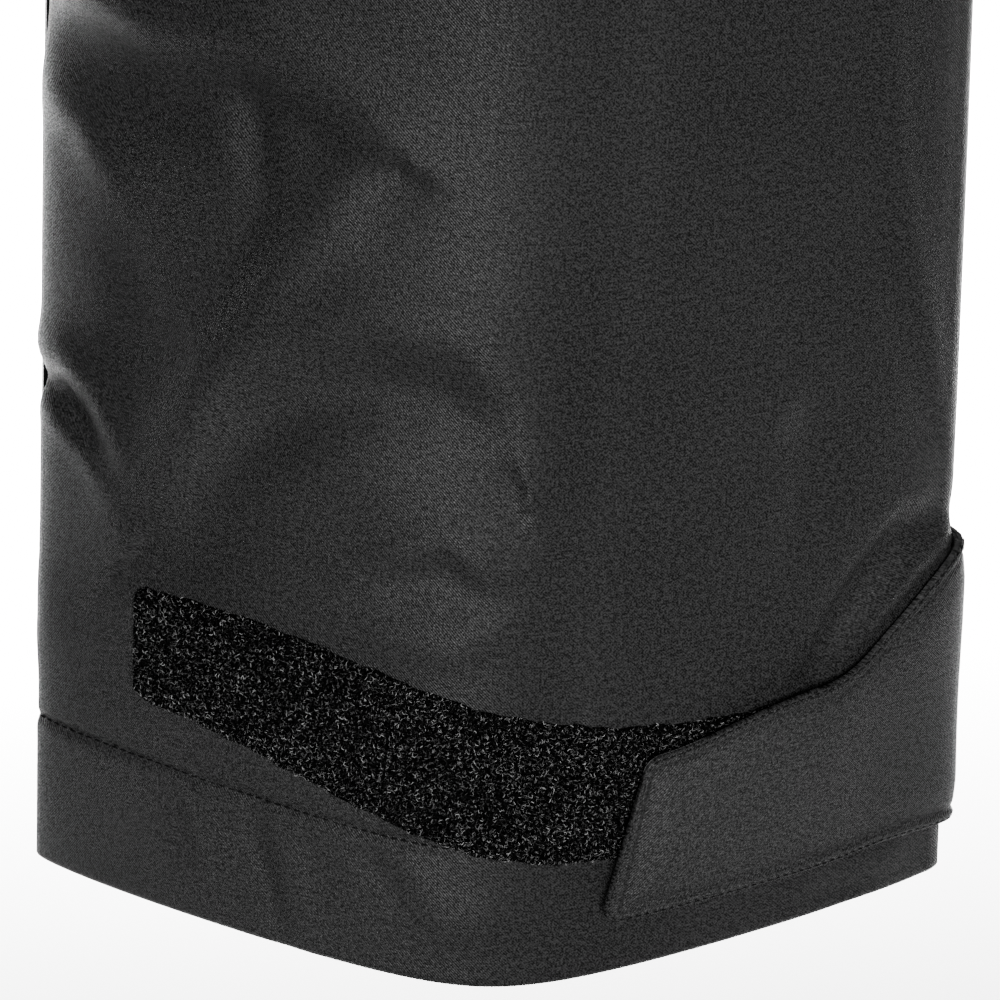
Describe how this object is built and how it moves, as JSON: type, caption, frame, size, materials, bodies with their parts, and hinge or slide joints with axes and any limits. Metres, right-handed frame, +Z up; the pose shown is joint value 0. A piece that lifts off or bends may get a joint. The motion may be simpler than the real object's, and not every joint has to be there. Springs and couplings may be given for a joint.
{
  "type": "ski pants",
  "caption": "Wide-legged insulated ski pants with hook-and-loop cuff tabs, snow gaiters, zipped fly and hand pockets, side waist adjusters and a flapped thigh pocket.",
  "frame": {"origin": "centre of the waist opening, in the plane of the waistband's top edge", "axes": "+Z up the body, +X to the wearer's left, -Y the way the wearer faces"},
  "size_m": [0.5722, 0.2715, 1.076],
  "materials": {
    "shell": "matte fine twill",
    "lining": "smooth plain weave",
    "trim": "matte webbing",
    "loop": "brushed loop pile",
    "hook": "moulded hooks",
    "zip": "woven tape with moulded teeth",
    "metal": "satin gunmetal"
  },
  "bodies": {
    "pants": {"LeftFrontPanel": "shell", "LeftBackPanel": "shell", "LeftYoke": "shell", "LeftLining": "lining", "LeftHemFacing": "lining", "LeftGaiterSleeve": "lining", "LeftPocketBag": "lining", "LeftGaiterElastic": "trim", "LeftFrontBeltLoop": "trim", "LeftRearBeltLoop": "trim", "LeftCuffLoopPatch": "loop", "LeftAdjusterLoop": "loop", "LeftPocketZip": "zip", "LeftLaceHook": "metal", "RightFrontPanel": "shell", "RightBackPanel": "shell", "RightYoke": "shell", "RightLining": "lining", "RightHemFacing": "lining", "RightGaiterSleeve": "lining", "RightPocketBag": "lining", "RightGaiterElastic": "trim", "RightFrontBeltLoop": "trim", "RightRearBeltLoop": "trim", "RightCuffLoopPatch": "loop", "RightAdjusterLoop": "loop", "RightPocketZip": "zip", "RightLaceHook": "metal", "WaistbandShell": "shell", "FlyFlap": "shell", "ThighPocket": "shell", "WaistbandFacing": "lining", "FlyShield": "lining", "BackBeltLoop": "trim", "ThighPocketLoop": "loop", "FlyZipTapeLeft": "zip", "FlyZipTapeRight": "zip", "SnapStud": "metal", "SnapPost": "metal"},
    "left_cuff": {"LeftCuffTab": "shell", "LeftCuffTabFacing": "trim", "LeftCuffHookPatch": "hook"},
    "left_adjuster": {"LeftAdjusterTab": "trim", "LeftAdjusterHook": "hook"},
    "left_slider": {"LeftPocketSlider": "metal"},
    "left_puller": {"LeftPocketPuller": "metal"},
    "right_cuff": {"RightCuffTab": "shell", "RightCuffTabFacing": "trim", "RightCuffHookPatch": "hook"},
    "right_adjuster": {"RightAdjusterTab": "trim", "RightAdjusterHook": "hook"},
    "right_slider": {"RightPocketSlider": "metal"},
    "right_puller": {"RightPocketPuller": "metal"},
    "waist_tab": {"WaistTab": "trim", "SnapCap": "metal", "SnapSocket": "metal"},
    "thigh_flap": {"ThighPocketFlap": "shell", "ThighPocketHook": "hook"},
    "fly_slider": {"FlySlider": "metal"},
    "fly_puller": {"FlyPuller": "metal"}
  },
  "joints": [
    {"name": "left_cuff_peel", "type": "hinge", "parent": "pants", "child": "left_cuff", "pos_m": [0.2718, 0.0341, -1.0035], "axis": [-0.0014, -0.0796, 0.9968], "range_deg": [0, 110]},
    {"name": "left_adjuster_peel", "type": "hinge", "parent": "pants", "child": "left_adjuster", "pos_m": [0.13935, 0.06561, -0.02], "axis": [0, 0, 1], "range_deg": [0, 100]},
    {"name": "left_pocket_slide", "type": "slide", "parent": "pants", "child": "left_slider", "axis": [0.3908, 0.1046, -0.9145], "range_m": [0, 0.102]},
    {"name": "left_puller_swing", "type": "hinge", "parent": "left_slider", "child": "left_puller", "pos_m": [0.11364, -0.0866, -0.06757], "axis": [-0.7555, -0.5311, -0.3836], "range_deg": [0, 90]},
    {"name": "right_cuff_peel", "type": "hinge", "parent": "pants", "child": "right_cuff", "pos_m": [-0.2718, 0.0341, -1.0035], "axis": [-0.0014, 0.0796, -0.9968], "range_deg": [0, 110]},
    {"name": "right_adjuster_peel", "type": "hinge", "parent": "pants", "child": "right_adjuster", "pos_m": [-0.13935, 0.06561, -0.02], "axis": [0, 0, -1], "range_deg": [0, 100]},
    {"name": "right_pocket_slide", "type": "slide", "parent": "pants", "child": "right_slider", "axis": [-0.3908, 0.1046, -0.9145], "range_m": [0, 0.102]},
    {"name": "right_puller_swing", "type": "hinge", "parent": "right_slider", "child": "right_puller", "pos_m": [-0.11364, -0.0866, -0.06757], "axis": [-0.7555, 0.5311, 0.3836], "range_deg": [0, 90]},
    {"name": "waist_tab_peel", "type": "hinge", "parent": "pants", "child": "waist_tab", "pos_m": [0.044, -0.1138, -0.02], "axis": [0, 0, 1], "range_deg": [0, 110]},
    {"name": "thigh_flap_lift", "type": "hinge", "parent": "pants", "child": "thigh_flap", "pos_m": [-0.21225, -0.04837, -0.3297], "axis": [-0.3914, 0.9202, 0], "range_deg": [0, 110]},
    {"name": "fly_slide", "type": "slide", "parent": "pants", "child": "fly_slider", "axis": [0, 0, -1], "range_m": [0, 0.14]},
    {"name": "fly_puller_swing", "type": "hinge", "parent": "fly_slider", "child": "fly_puller", "pos_m": [0, -0.1159, -0.05085], "axis": [-1, 0, 0], "range_deg": [-2, 6]}
  ]
}
